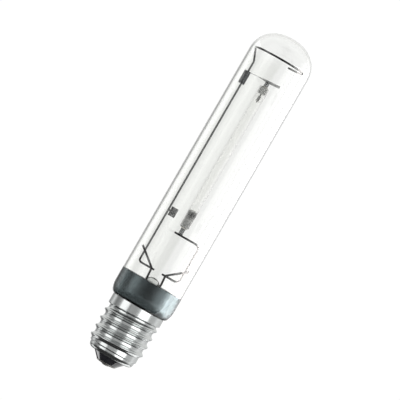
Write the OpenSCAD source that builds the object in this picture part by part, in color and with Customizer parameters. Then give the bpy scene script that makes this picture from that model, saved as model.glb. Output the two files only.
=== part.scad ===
// Tubular high-pressure sodium grow lamp with a large Edison screw cap.
// Millimetres. The lamp's axis is Z, with the origin at the tip of the centre contact, the dome up
// and the wire frame that carries the arc tube on the -X side.

/* [Envelope] */
// Overall length, from the contact's tip to the top of the dome
lamp_l = 257; // [255:1:285]
// Outside diameter of the glass tube
bulb_d = 46; // [45:0.5:49]
// Thickness of the envelope's glass
glass_t = 1.2; // [0.9:0.1:1.4]
// Height of the dome's curve
dome_h = 20.3; // [18:0.1:23]
// Height of the getter mirror's top edge
mirror_top = 65.5; // [60:0.5:68]

/* [Screw cap] */
// Diameter over the thread crests and the skirt
cap_major_d = 39.2; // [39.05:0.05:39.5]
// Diameter at the thread roots
cap_minor_d = 35.5; // [35.45:0.05:35.9]
// Thread pitch
thread_pitch = 6.35; // [6.3:0.05:6.4]
// Height of the skirt's rim above the contact's tip
cap_h = 46.2; // [45.8:0.1:46.6]
// Diameter of the insulator where it leaves the shell
insulator_d = 24.2; // [23:0.1:25]
// Diameter of the centre contact
contact_d = 14.8; // [13:0.1:16]

/* [Arc tube] */
// Outside diameter of the translucent ceramic tube
arc_d = 6.7; // [6.4:0.1:8]
// Wall of the ceramic tube
arc_wall = 0.7; // [0.6:0.05:0.75]
// Length of the ceramic tube
arc_l = 110.5; // [100:0.5:112]
// Height of the middle of the ceramic tube, the light centre
light_centre = 163.35; // [160:0.5:165]
// Diameter of the metal tubes that carry the current into each end
feed_d = 3.1; // [2.8:0.1:3.2]

/* [Wire frame] */
// Diameter of the frame's wires
frame_wire_d = 1.4; // [1.2:0.05:1.5]
// Diameter of the wires that rise from the glass stem
lead_wire_d = 1.5; // [1.3:0.05:1.6]
// Distance of the frame rod from the axis
rod_x = 15.5; // [15:0.1:16]
// Mean radius of the loop that steadies the frame in the dome
loop_r = 19.3; // [18.5:0.1:19.5]

/* [Hidden] */
$fn = 64;

// Small gaps: between parts of one assembly, and round the end of the arc tube that is free to grow
fit_gap = 0.02;
slip_gap = 0.05;
// How far welded wires sink into each other
weld_sink = 0.1;

// Cap
crest_r = cap_major_d / 2;
root_r = cap_minor_d / 2;
shell_t = 0.6;          // wall of the plain bands
rolled_t = 0.4;         // wall where the thread is rolled
thread_z0 = 14.9;       // crest of the first turn, on the -X side
thread_low = 12;        // the rolled sheet, from inside the lower band ...
thread_high = 42.4;     // ... to inside the skirt
band_lap = 1.3;         // how far it runs into each band
skirt_edge = 39.4;      // mean height of the skirt's lower edge
bead_r = 3.4;           // rounded bottom of the shell
bead_z = 9.9;
bead_x = 13.5;
lip_z = bead_z - bead_r;
contact_top = 1.9;
insulator_top = 9.4;
solder_hole_z = 43.4;

// Envelope
bulb_r = bulb_d / 2;
neck_r = 16.5;
neck_z = 23.2;          // where the neck is sealed to the stem's flare
dome_z = lamp_l - dome_h;
dome_power = 2.2;       // a little fuller than an ellipse
belly_r = 16;           // large and small curves of the shoulder
belly_a = 26;
turn_r = 2.4;
turn_a = 80;
belly_z = cap_h + 8.5;
throat_r = 2;           // curve between shoulder and neck
film_t = 0.12;

// Stem
stem_r = 7.8;
stem_wall = 1.2;
press_z = 50;           // ceiling of the stem's hollow
press_top = 68.5;
press_round = 6.3;      // dome of its top edge, between low shoulders
press_shoulder = 64.2;
press_half_t = 2.4;
lead_split = 58;        // outer wires end and inner leads begin, inside the glass
outer_wire_r = 0.25;
lead_x = [-5, 5.9];     // where the leads come up through the press
exhaust_r = 2.5;
exhaust_wall = 0.8;
exhaust_tip = 18;
vent_z = 54;

// Frame
wire_r = frame_wire_d / 2;
lead_r = lead_wire_d / 2;
frame_y = wire_r + lead_r - weld_sink;   // the frame stands just behind the leads
foot_z = 73.2;
bracket_x = 15.7;
lead_top = 73.5;
loop_z = 239.6;
loop_sweep = 248;

// Arc tube and its ends
arc_r = arc_d / 2;
bore_r = arc_r - arc_wall;
arc_low = light_centre - arc_l / 2;
arc_high = light_centre + arc_l / 2;
lower_plug_l = 5.2;
upper_plug_l = 4.3;
feed_r = feed_d / 2;
feed_wall = 0.25;
upper_feed_l = 5.1;     // stands out of the tube
bracket_z = arc_low - 5.7;
electrode_r = 0.5;
coil_r = 1.0;
coil_start = 6.6;       // distances from the end of the arc tube
coil_end = 10.5;
electrode_tip = 11.4;
strap_z = arc_high + 4.6;
sleeve_r = 2.35;        // clip rolled from sheet; the rod is welded inside its back
sleeve_t = 0.3;
sleeve_x = -rod_x - 0.2;
sleeve_y = frame_y + wire_r - weld_sink - (sleeve_r - sleeve_t);
strap_w = 5.5;
strap_t = 0.25;
strap_left = sleeve_x + sleeve_r - sleeve_t / 2;
strap_right = 8.8;
clip_z = arc_high - 5.6;
clip_h = 9.7;

// ---------- helpers ----------

function arc(cx, cy, r, from, to, n = 8) =
    [for (i = [0:n]) let (a = from + (to - from) * i / n) [cx + r * cos(a), cy + r * sin(a)]];
function smooth(t) = let (x = max(0, min(1, t))) x * x * (3 - 2 * x);
function mix(a, b, t) = a + (b - a) * t;
function unit(v) = v / norm(v);

module turned(points) rotate_extrude() polygon(points);

module ring(r_out, r_in, low, high) turned([[r_in, low], [r_out, low], [r_out, high], [r_in, high]]);

// A wire's centre line: the points, with corner i rounded to radii[i - 1]
function corner(p, u, v, radius, n) =
    let (
        turn = acos(u * v),
        start = p - u * radius * tan(turn / 2),
        centre = p + unit(v - u) * radius / cos(turn / 2)
    ) [for (k = [0:n]) centre + (start - centre) * cos(turn * k / n) + u * radius * sin(turn * k / n)];
function route(points, radii, n = 4) = let (last = len(points) - 1) [
    points[0],
    for (i = [1:last - 1]) each corner(points[i], unit(points[i] - points[i - 1]),
        unit(points[i + 1] - points[i]), radii[i - 1], n),
    points[last]
];

// Round wire along a centre line: a ring of points at each place, turned as little as possible
function heading(line, i) = let (last = len(line) - 1) unit(
    (i < last ? unit(line[i + 1] - line[i]) : [0, 0, 0]) + (i > 0 ? unit(line[i] - line[i - 1]) : [0, 0, 0]));
function across(v, t) = unit(v - t * (v * t));
function normals(line, i, n) = i == len(line) ? [] :
    let (m = across(n, heading(line, i))) [m, each normals(line, i + 1, m)];
module wire(line, r, sides = 12) {
    last = len(line) - 1;
    first = heading(line, 0);
    side = normals(line, 0, abs(first.z) < 0.9 ? [0, 0, 1] : [0, 1, 0]);
    points = [for (i = [0:last]) let (up = cross(heading(line, i), side[i]))
        each [for (k = [0:sides - 1]) line[i] + r * (side[i] * cos(360 * k / sides) + up * sin(360 * k / sides))]];
    faces = [for (i = [0:last - 1], k = [0:sides - 1])
        let (a = sides * i + k, b = sides * i + (k + 1) % sides) each [[a, b + sides, b], [a, a + sides, b + sides]]];
    polyhedron(points, [[for (k = [0:sides - 1]) k], each faces, [for (k = [sides - 1:-1:0]) last * sides + k]]);
}

// ---------- screw cap ----------

// Radius of the rolled thread at height z and angle a: a right-hand helix of narrow rounded crests that
// grows out of the lower band, and whose last groove ends at the skirt
function thread_r(z, a) =
    let (
        pitches = (z - thread_z0) / thread_pitch - (a - 180) / 360,
        along = round(pitches) + (a - 180) / 360,
        crest = pow(cos(180 * pitches), 4) * smooth((along + 0.22) / 0.25),
        skirt = smooth((z - skirt_edge - 0.8 * cos(a)) / 1.2 + 0.5)
    ) mix(root_r, crest_r, max(crest, skirt));

// The rolled sheet as one closed skin; its two ends lie inside the walls of the plain bands
module rolled_thread(sides = 36, step = 0.75) {
    rows = round((thread_high - thread_low) / step);
    side = (shell_t - rolled_t) / 2;
    heights = [for (i = [0:rows]) mix(thread_low, thread_high, i / rows)];
    function inset(i) = (i == 0 || i == rows) ? side : (i == 1 || i == rows - 1) ? side : 0;
    function row(i, depth) = [for (j = [0:sides - 1])
        let (a = 360 * j / sides, r = thread_r(heights[i], a) - depth)
            [r * cos(a), r * sin(a), heights[i]]];
    skin = [for (i = [0:rows]) each row(i, inset(i))];
    lining = [for (i = [0:rows]) each row(i, rolled_t + inset(i))];
    inner = len(skin);
    function at(i, j) = i * sides + j % sides;
    faces = [
        for (i = [0:rows - 1], j = [0:sides - 1]) each [
            [at(i, j), at(i + 1, j), at(i + 1, j + 1)],
            [at(i, j), at(i + 1, j + 1), at(i, j + 1)],
            [inner + at(i, j), inner + at(i + 1, j + 1), inner + at(i + 1, j)],
            [inner + at(i, j), inner + at(i, j + 1), inner + at(i + 1, j + 1)]
        ],
        for (j = [0:sides - 1]) each [
            [at(0, j), at(0, j + 1), inner + at(0, j + 1)],
            [at(0, j), inner + at(0, j + 1), inner + at(0, j)],
            [at(rows, j), inner + at(rows, j + 1), at(rows, j + 1)],
            [at(rows, j), inner + at(rows, j), inner + at(rows, j + 1)]
        ]
    ];
    polyhedron([each skin, each lining], faces);
}

// Lower band, crease and turned-in bead, down to the lip that grips the insulator
module shell_bottom() turned([
    [root_r, thread_low + band_lap],
    [root_r, 11.1],
    each arc(bead_x, bead_z, bead_r, 6, -90),
    [insulator_d / 2, lip_z],
    [insulator_d / 2, lip_z + shell_t],
    each arc(bead_x, bead_z, bead_r - shell_t, -90, 6),
    [root_r - shell_t, 11.3],
    [root_r - shell_t, thread_low + band_lap]
]);

module screw_shell() {
    color("silver") difference() {
        union() {
            rolled_thread();
            ring(crest_r, crest_r - shell_t, thread_high - band_lap, cap_h);
            shell_bottom();
        }
        translate([0, crest_r - 2, solder_hole_z]) rotate([-90, 0, 0]) cylinder(h = 4, r = 0.6, $fn = 32);
    }
}

// Black glass that carries the contact and fills the shell's bottom
module glass_insulator() {
    color("#1b1b1d") turned([
        [1.6, contact_top],
        [contact_d / 2 + 0.1, contact_top],
        [insulator_d / 2 - 0.25, lip_z - 0.15],
        [insulator_d / 2, lip_z],
        [insulator_d / 2, lip_z + shell_t + fit_gap],
        each arc(bead_x, bead_z, bead_r - shell_t - fit_gap, -90, -10),
        [bead_x - 1.5, insulator_top],
        [1.6, insulator_top - 2]
    ]);
}

module centre_contact() {
    r = contact_d / 2;
    color("darkgray") turned([
        [2.6, 0.5],
        [r - 1.2, 0.95],
        [r - 0.25, 1.35],
        [r, 1.65],
        [r, contact_top],
        [1.1, contact_top],
        [1.1, 1.2],
        [2.6, 0.9]
    ]);
}

// Solder in the contact's eye, with the flat that rests on the holder's spring
module contact_solder() {
    color("gainsboro") turned([
        [0, 0],
        [1.5, 0],
        [2.2, 0.18],
        [2.6, 0.5],
        [2.6, 0.9],
        [1.1, 1.2],
        [1.1, contact_top],
        [outer_wire_r, contact_top],
        [outer_wire_r, 0.9],
        [0, 0.9]
    ]);
}

// Solder, nearly flush, that fills a hole in the back of the skirt and holds the end of the shell's wire
module shell_solder() {
    color("gainsboro") translate([0, crest_r - shell_t, solder_hole_z]) rotate([-90, 0, 0]) turned([
        [0, 0.3],
        [outer_wire_r, 0.3],
        [outer_wire_r, -0.1],
        [0.6, -0.1],
        [0.6, shell_t + fit_gap],
        [1.5, shell_t + fit_gap],
        [1.3, shell_t + 0.1],
        [0.8, shell_t + 0.2],
        [0, shell_t + 0.2]
    ]);
}

module cap_cement() {
    root_in = root_r - rolled_t - 0.25;
    skirt_in = crest_r - shell_t - 0.15;
    neck = neck_r + fit_gap;
    top = belly_z - 10.7;
    color("#d8cfb8") difference() {
        turned([[neck, 27], [root_in, 27], [root_in, 40.5], [skirt_in, 42], [skirt_in, top], [neck, top]]);
        translate([-0.35, neck_r - 0.5, 26]) cube([0.7, 1.15, 20]);
        translate([-0.35, neck_r - 0.5, solder_hole_z - 0.35]) cube([0.7, 4, 2]);
    }
}

// ---------- wires inside the cap ----------

// From the stem to the contact's eye
module contact_wire() {
    color("#b87333") wire(
        route([[lead_x[0], 0, lead_split], [lead_x[0], 0, 17], [0, 0, 11], [0, 0, 0.9]], [2, 2]), outer_wire_r, 8);
}

// From the stem, under the neck and up between glass and shell, into the hole in the skirt
module shell_wire() {
    y = neck_r + outer_wire_r + 0.1;
    color("#b87333") wire(
        route([[lead_x[1], 0, lead_split], [lead_x[1], 0, 19], [0, y, 19], [0, y, solder_hole_z],
               [0, crest_r - shell_t + 0.3, solder_hole_z]], [2, 1, 0.8]),
        outer_wire_r, 8);
}

// ---------- glass ----------

// Envelope profile at a depth below the outside surface, from the neck's end to the top of the dome
function envelope(depth) = let (r = bulb_r - depth, h = dome_h - depth, turn_x = bulb_r - belly_r
        + (belly_r - turn_r) * cos(belly_a), turn_z = belly_z - (belly_r - turn_r) * sin(belly_a)) [
    [neck_r - depth, neck_z],
    each arc(neck_r + throat_r, belly_z - 10.5, throat_r + depth, 180, 95, 6),
    each arc(turn_x, turn_z, turn_r - depth, -turn_a, -belly_a, 5),
    each arc(bulb_r - belly_r, belly_z, belly_r - depth, -belly_a * 0.85, 0, 6),
    for (i = [0:28]) let (a = 90 * i / 28)
        [i == 28 ? 0 : r * pow(cos(a), 2 / dome_power), dome_z + h * pow(sin(a), 2 / dome_power)]
];
function reversed(points) = [for (i = [len(points) - 1:-1:0]) points[i]];

module outer_bulb() {
    color("lightcyan", 0.3) turned([each envelope(0), each reversed(envelope(glass_t))]);
}

// Barium film on the inside of the shoulder and the lower tube
module getter_mirror() {
    function on_film(p) = p.y > belly_z - 9.2 && p.y < mirror_top;
    outside = [for (p = envelope(glass_t)) if (on_film(p)) p];
    inside = [for (p = envelope(glass_t + film_t)) if (on_film(p)) p];
    color("#3a4042") turned([
        each outside,
        [bulb_r - glass_t, mirror_top],
        [bulb_r - glass_t - film_t, mirror_top],
        each reversed(inside)
    ]);
}

// Flared tube, sealed to the neck, that closes in a flat press round the leads
module glass_stem() {
    flare_r = neck_r - glass_t - stem_r;
    inner_r = stem_r - stem_wall;
    color("lightcyan", 0.5) difference() {
        union() {
            turned([
                [neck_r, neck_z],
                each arc(neck_r - glass_t, neck_z, glass_t, 0, -90, 4),
                each arc(neck_r - glass_t, neck_z + flare_r, flare_r + stem_wall, 270, 180, 10),
                [inner_r, press_z - 2],
                [inner_r - 2, press_z],
                [0, press_z],
                [0, press_z + 6],
                [stem_r - 4, press_z + 5],
                [stem_r, press_z],
                each arc(neck_r - glass_t, neck_z + flare_r, flare_r, 180, 265, 9),
                [neck_r - glass_t, neck_z]
            ]);
            intersection() {
                turned([
                    [0, press_z + 1],
                    [stem_r, press_z + 1],
                    [stem_r, press_shoulder],
                    each arc(0, press_top - press_round, press_round, 30, 88, 8),
                    [0, press_top]
                ]);
                translate([-stem_r, -press_half_t, press_z]) cube([2 * stem_r, 2 * press_half_t, 20]);
            }
        }
        for (x = lead_x) {
            translate([x, 0, press_z - 3]) cylinder(h = 20, r = outer_wire_r, $fn = 32);
            translate([x, 0, lead_split]) cylinder(h = 20, r = lead_r, $fn = 32);
        }
        translate([0, 0, press_z - 1]) cylinder(h = vent_z - press_z + 1, r = exhaust_r - exhaust_wall);
        translate([0, 0, vent_z - 1]) rotate([-90, 0, 0]) cylinder(h = 10, r = 1);
    }
}

// Glass tube that the envelope was pumped out through, drawn to a closed tip
module exhaust_tube() {
    inner = exhaust_r - exhaust_wall;
    color("lightcyan", 0.5) turned([
        [0, exhaust_tip],
        [0.5, exhaust_tip + 0.2],
        [exhaust_r - 0.6, exhaust_tip + 3],
        [exhaust_r, exhaust_tip + 5],
        [exhaust_r, press_z],
        [inner, press_z],
        [inner, exhaust_tip + 5.5],
        [0, exhaust_tip + 2.5]
    ]);
}

// ---------- wire frame ----------

// Stiff wire from the press that turns out and forward at its top, to steady the frame near the glass
module lead(x, top_x, tip_x) {
    wire(route([[x, 0, lead_split], [x, 0, press_top - 1.5], [top_x, 0, lead_top], [tip_x, -8, 84]], [3, 1.2]),
        lead_r);
}

module frame_lead() {
    color("#4a4c50") lead(lead_x[0], -5.45, -18.2);
}

module return_lead() {
    color("#4a4c50") lead(lead_x[1], 5.4, 18.2);
}

// Foot, rod, outward crank and the loop in the dome, bent from one wire
module frame_rod() {
    bent = route(
        [[-3.2, frame_y, foot_z], [-rod_x, frame_y, foot_z], [-rod_x, frame_y, loop_z - 9.2],
         [-loop_r, frame_y, loop_z], [-loop_r, 0, loop_z]], [2, 2, 0.9]);
    loop = [for (i = [1:32]) let (a = 180 + loop_sweep * i / 32) [loop_r * cos(a), loop_r * sin(a), loop_z]];
    color("#4a4c50") wire([each bent, each loop], wire_r);
}

// C-shaped wire that carries the arc tube's fixed end
module lower_bracket() {
    color("#4a4c50") wire(
        route([[2.7, frame_y, foot_z], [bracket_x, frame_y, foot_z], [bracket_x, 0, bracket_z],
               [-4.1, 0, bracket_z]], [3.5, 3.5]),
        wire_r);
}

// Plate of getter alloy on a tab welded to the rod
module getter_flag() {
    low = arc_low + 2.3;
    left = -rod_x + 1.2;
    color("#55595c") translate([left, frame_y - 0.15, low]) {
        cube([5, 0.3, 6.6]);
        translate([-1.2 + wire_r - weld_sink, 0, 2.7]) cube([1.3 - wire_r + weld_sink, 0.3, 1.2]);
    }
}

// Sheet rolled into a sleeve round the rod, with an open seam at the back; the strap is welded to its side
module strap_clip() {
    color("#3c3f42") translate([sleeve_x, sleeve_y, clip_z]) linear_extrude(clip_h) polygon([
        each arc(0, 0, sleeve_r, 120, 465, 40),
        each arc(0, 0, sleeve_r - sleeve_t, 465, 120, 40)
    ]);
}

// Thin springy ribbon from the clip to the free end of the arc tube; it lets the hot tube grow
module upper_strap() {
    steps = 14;
    function centre(t) = [mix(strap_left, strap_right, t), mix(sleeve_y, 0, smooth(t * 3)),
        strap_z - 0.75 + 1.3 * t + 0.15 * sin(360 * t)];
    function tilt(t) = 20 * smooth(t * 1.6 - 0.1);
    function half_w(t) = strap_w / 2 * mix(0.25, 1, smooth(t * 3));
    corners = [for (i = [0:steps]) let (t = i / steps, c = centre(t), w = half_w(t), a = tilt(t))
        each [for (k = [[-1, -1], [1, -1], [1, 1], [-1, 1]])
            [c.x, c.y + k[0] * w * cos(a) - k[1] * strap_t / 2 * sin(a),
             c.z + k[0] * w * sin(a) + k[1] * strap_t / 2 * cos(a)]]];
    sides = [for (i = [0:steps - 1], k = [0:3]) let (a = 4 * i + k, b = 4 * i + (k + 1) % 4)
        each [[a, b, b + 4], [a, b + 4, a + 4]]];
    last = 4 * steps;
    color("#8d9194") difference() {
        polyhedron(corners, concat([[0, 3, 2], [0, 2, 1]], sides,
            [[last, last + 1, last + 2], [last, last + 2, last + 3]]));
        translate([0, 0, arc_high]) cylinder(h = 10, r = feed_r + slip_gap);
    }
}

// ---------- arc tube ----------

// Translucent ceramic, with its outer edges eased
module arc_tube() {
    ease = 0.35;
    color("ivory", 0.8) turned([
        [bore_r, arc_low], [arc_r - ease, arc_low], [arc_r, arc_low + ease],
        [arc_r, arc_high - ease], [arc_r - ease, arc_high], [bore_r, arc_high]
    ]);
}

// Pellet of sodium amalgam that has settled beside the lower electrode
module sodium_amalgam() {
    r = 0.75;
    x = -bore_r + r + 0.1;
    low = arc_low + lower_plug_l + r;
    color("#6d7276") {
        translate([x, 0, low]) cylinder(h = 3, r = r);
        for (z = [low, low + 3]) translate([x, 0, z]) sphere(r);
    }
}

// The parts of one end, drawn for the lower end and going up from z = 0 at the end of the arc tube
module plug(length, gap) ring(bore_r - gap, feed_r + fit_gap, 0, length);

module frit() turned([
    [feed_r + fit_gap, -0.7], [feed_r + 0.35, -0.6], [bore_r - 0.3, -0.15], [bore_r - 0.1, 0],
    [feed_r + fit_gap, 0]
]);

// Thin metal tube, closed at its inner end, where the electrode is brazed on
module feed_tube(outside, inside) turned([
    [feed_r - feed_wall, -outside], [feed_r, -outside], [feed_r, inside], [0, inside],
    [0, inside - 0.8], [feed_r - feed_wall, inside - 0.8]
]);

module electrode(from) {
    translate([0, 0, from]) cylinder(h = electrode_tip - from - 0.3, r = electrode_r);
    translate([0, 0, electrode_tip - 0.3]) cylinder(h = 0.3, r1 = electrode_r, r2 = 0.25);
}

// Tungsten coil, its turns touching
module coil() {
    turn_w = 0.3;
    turns = floor((coil_end - coil_start) / turn_w);
    x = coil_r - turn_w / 2;
    rotate_extrude() {
        translate([electrode_r + fit_gap, coil_start]) square([x - electrode_r - fit_gap, turns * turn_w]);
        for (i = [0:turns - 1]) translate([x, coil_start + (i + 0.5) * turn_w]) circle(turn_w * 0.55, $fn = 24);
    }
}

module at_low_end() translate([0, 0, arc_low]) children();
module at_high_end() translate([0, 0, arc_high]) rotate([180, 0, 0]) children();

module lower_plug() { color("#b9bcbb") at_low_end() plug(lower_plug_l, fit_gap); }
module lower_frit() { color("#d5d2c4") at_low_end() frit(); }
module lower_feed_tube() {
    color("#7e8487") at_low_end() feed_tube(arc_low - bracket_z - wire_r + weld_sink, lower_plug_l);
}
module lower_electrode() { color("#5a5d60") at_low_end() electrode(lower_plug_l); }
module lower_coil() { color("#45484b") at_low_end() coil(); }

module upper_plug() { color("#b9bcbb") at_high_end() plug(upper_plug_l, slip_gap); }
module upper_frit() { color("#d5d2c4") at_high_end() frit(); }
module upper_feed_tube() { color("#7e8487") at_high_end() feed_tube(upper_feed_l, upper_plug_l); }
module upper_electrode() { color("#5a5d60") at_high_end() electrode(upper_plug_l); }
module upper_coil() { color("#45484b") at_high_end() coil(); }

screw_shell();
glass_insulator();
centre_contact();
contact_solder();
shell_solder();
cap_cement();
contact_wire();
shell_wire();
outer_bulb();
getter_mirror();
glass_stem();
exhaust_tube();
frame_lead();
return_lead();
frame_rod();
lower_bracket();
getter_flag();
strap_clip();
upper_strap();
arc_tube();
sodium_amalgam();
lower_plug();
lower_frit();
lower_feed_tube();
lower_electrode();
lower_coil();
upper_plug();
upper_frit();
upper_feed_tube();
upper_electrode();
upper_coil();
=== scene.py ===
import math

import bmesh
import bpy
from mathutils import Matrix, Vector


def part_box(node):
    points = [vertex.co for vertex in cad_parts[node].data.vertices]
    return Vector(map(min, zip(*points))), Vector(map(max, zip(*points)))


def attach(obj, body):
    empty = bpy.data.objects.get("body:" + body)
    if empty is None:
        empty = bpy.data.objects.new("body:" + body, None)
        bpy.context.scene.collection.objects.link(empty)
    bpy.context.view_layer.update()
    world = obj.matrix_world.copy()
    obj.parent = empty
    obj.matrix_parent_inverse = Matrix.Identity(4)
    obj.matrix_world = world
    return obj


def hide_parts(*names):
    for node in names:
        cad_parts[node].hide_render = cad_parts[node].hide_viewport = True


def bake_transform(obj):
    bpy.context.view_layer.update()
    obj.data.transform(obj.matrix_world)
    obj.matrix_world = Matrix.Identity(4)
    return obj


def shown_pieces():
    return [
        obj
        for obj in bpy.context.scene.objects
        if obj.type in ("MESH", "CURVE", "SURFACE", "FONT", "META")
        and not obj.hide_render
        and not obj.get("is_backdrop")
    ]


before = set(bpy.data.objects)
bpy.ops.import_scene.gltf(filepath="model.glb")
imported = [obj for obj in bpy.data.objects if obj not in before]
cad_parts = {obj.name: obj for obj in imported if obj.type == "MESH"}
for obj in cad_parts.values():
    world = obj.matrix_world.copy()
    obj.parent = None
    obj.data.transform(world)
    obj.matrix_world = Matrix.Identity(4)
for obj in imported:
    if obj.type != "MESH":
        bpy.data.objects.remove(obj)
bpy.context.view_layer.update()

MM = 0.001


def low(node):
    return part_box(node)[0] / MM


def high(node):
    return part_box(node)[1] / MM


# ---------- sizes in millimetres; places come from the boxes of the CAD nodes ----------

BULB_R = 23.0
DOME_TOP = high("outer_bulb").z
DOME_H = 20.3
DOME_POWER = 2.2
GLASS_T = 1.2
NECK_R, NECK_Z = 16.5, low("outer_bulb").z
CAP_TOP = high("screw_shell").z
LIP_Z = low("screw_shell").z
CREST_R, ROOT_R, PITCH = 19.6, 17.75, 6.35
CREASE_Z, THREAD_Z0, THREAD_A, SKIRT_EDGE = 11.0, 14.9, 180, 39.4
SHELL_T, ROLLED_T = 0.6, 0.4
BEAD_R, BEAD_X = 3.4, 13.5
BEAD_Z = LIP_Z + BEAD_R
INSULATOR_R, CONTACT_R = 12.1, 7.4
CONTACT_TOP = high("centre_contact").z
BELLY_Z, BELLY_R, BELLY_A, TURN_R, TURN_A = CAP_TOP + 8.5, 16.0, 26.0, 2.4, 80.0
FILM_LOW, FILM_TOP = BELLY_Z - 9.1, high("getter_mirror").z
STEM_R, STEM_T, PRESS_R, PRESS_TOP = 7.8, 1.2, 6.3, high("glass_stem").z
WIRE_R, LEAD_R = 0.7, 0.75
ROD_X, FRAME_Y = 15.5, 1.35
SLEEVE_R, SLEEVE_T, SLEEVE_X, SLEEVE_Y = 2.35, 0.3, -15.7, -0.1
FOOT_Z = 73.2
LOOP_R = 19.3
LOOP_Z = 239.6
ARC_LOW, ARC_HIGH = low("arc_tube").z, high("arc_tube").z
ARC_R, BORE_R = 3.35, 2.65
FEED_R = 1.55
BRACKET_Z = ARC_LOW - 5.7
STRAP_Z = ARC_HIGH + 4.6


# ---------- shapes ----------

def mix(a, b, t):
    """A value on the way from a to b."""
    return a + (b - a) * t


def smooth(t):
    """An S-curve from 0 to 1, level outside them."""
    t = max(0.0, min(1.0, t))
    return t * t * (3 - 2 * t)


def arc(cx, cy, r, start, end, n):
    """Points on an arc between two angles in degrees."""
    turns = [math.radians(mix(start, end, i / n)) for i in range(n + 1)]
    return [(cx + r * math.cos(a), cy + r * math.sin(a)) for a in turns]


def eased(points, radius, n=4):
    """A closed outline with rounded corners; points on the axis and on nearly straight runs stay."""
    out = []
    for i, point in enumerate(points):
        p = Vector(point)
        a, b = Vector(points[i - 1]) - p, Vector(points[(i + 1) % len(points)]) - p
        if p.x < 1e-6 or a.length < 1e-6 or b.length < 1e-6 or a.angle(b) > math.radians(160):
            out.append(tuple(p))
            continue
        cut = min(radius, 0.45 * a.length, 0.45 * b.length)
        start, end = p + a.normalized() * cut, p + b.normalized() * cut
        for k in range(n + 1):
            t = k / n
            out.append(tuple(start * (1 - t) ** 2 + p * 2 * t * (1 - t) + end * t * t))
    return out


def circle(segments):
    """Cosine and sine of evenly spaced angles round a turn."""
    angles = [math.tau * j / segments for j in range(segments)]
    return [(math.cos(a), math.sin(a)) for a in angles]


def joined(rings):
    """Faces between neighbouring rings of point numbers; a ring may be one point, repeated."""
    faces = []
    for near, far in zip(rings, rings[1:]):
        for j in range(len(near)):
            k = (j + 1) % len(near)
            corners = [near[j], near[k], far[k], far[j]]
            corners = [c for n, c in enumerate(corners) if c != corners[n - 1]]
            if len(corners) > 2:
                faces.append(corners)
    return faces


def skin(rings, closed=False):
    """Points of rings with equally many points, and the faces between the rings."""
    n = len(rings[0])
    numbers = [list(range(i * n, (i + 1) * n)) for i in range(len(rings))]
    return [point for ring in rings for point in ring], joined(numbers + numbers[:1] if closed else numbers)


def lathe(profile, segments=96):
    """A closed profile of (radius, height) turned about Z."""
    rings, verts = [], []
    for r, z in profile:
        if r < 1e-6:
            rings.append([len(verts)] * segments)
            verts.append((0, 0, z))
        else:
            rings.append(list(range(len(verts), len(verts) + segments)))
            verts += [(r * c, r * s, z) for c, s in circle(segments)]
    return verts, joined(rings + rings[:1])


def corner(p, before, after, radius, n):
    """Arc of n steps that rounds the corner at p."""
    u, v = (p - before).normalized(), (after - p).normalized()
    turn = u.angle(v)
    reach = radius * math.tan(turn / 2)
    centre = p + (v - u).normalized() * radius / math.cos(turn / 2)
    start = p - u * reach
    return [centre + (start - centre) * math.cos(turn * k / n) + u * radius * math.sin(turn * k / n)
            for k in range(n + 1)]


def route(points, radii, n=10):
    """A line through points, each corner between them bent to its own radius."""
    points = [Vector(p) for p in points]
    line = [points[0]]
    for i in range(1, len(points) - 1):
        line += corner(points[i], points[i - 1], points[i + 1], radii[i - 1], n)
    return line + [points[-1]]


def sweep(line, radius, sides=16, ease=0.3):
    """Round wire along a centre line, with sheared, slightly eased ends."""
    line = [Vector(p) for p in line]
    first, last = (line[1] - line[0]).normalized(), (line[-1] - line[-2]).normalized()
    cut = radius * ease
    stations = [(line[0], 0.0), (line[0], radius - cut), (line[0] + first * cut * 0.4, radius - cut * 0.3),
                (line[0] + first * cut, radius)]
    stations += [(p, radius) for p in line[1:-1]]
    stations += [(line[-1] - last * cut, radius), (line[-1] - last * cut * 0.4, radius - cut * 0.3),
                 (line[-1], radius - cut), (line[-1], 0.0)]
    path = [s[0] for s in stations]
    verts, rings = [], []
    side = Vector((0, 0, 1)) if abs(first.z) < 0.9 else Vector((0, 1, 0))
    for i, (p, r) in enumerate(stations):
        ahead = next((q - p for q in path[i + 1:] if (q - p).length > 1e-6), last)
        behind = next((p - q for q in reversed(path[:i]) if (p - q).length > 1e-6), first)
        tangent = (ahead.normalized() + behind.normalized()).normalized()
        side = (side - tangent * side.dot(tangent)).normalized()
        up = tangent.cross(side)
        if r == 0.0:
            rings.append([len(verts)] * sides)
            verts.append(tuple(p))
            continue
        rings.append(list(range(len(verts), len(verts) + sides)))
        verts += [tuple(p + r * (side * c + up * s)) for c, s in circle(sides)]
    return verts, joined(rings)


def blob(centre, size, rings=10, segments=20):
    """A rounded bead, whose size is its three half-axes."""
    x, y, z = centre
    a, b, h = size
    shape = []
    for i in range(rings + 1):
        t = math.pi * i / rings
        wide = math.sin(t)
        shape.append([(x + a * wide * c, y + b * wide * s, z + h * math.cos(t)) for c, s in circle(segments)])
    return skin(shape)


def together(*shapes):
    """Several shapes as one."""
    verts, faces = [], []
    for v, f in shapes:
        faces += [[i + len(verts) for i in face] for face in f]
        verts += v
    return verts, faces


def plate(outline, z0, z1):
    """A straight prism over an outline in X and Y."""
    n = len(outline)
    verts = [(x, y, z0) for x, y in outline] + [(x, y, z1) for x, y in outline]
    faces = [list(range(n))[::-1], list(range(n, 2 * n))]
    faces += [[i, (i + 1) % n, n + (i + 1) % n, n + i] for i in range(n)]
    return verts, faces


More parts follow.
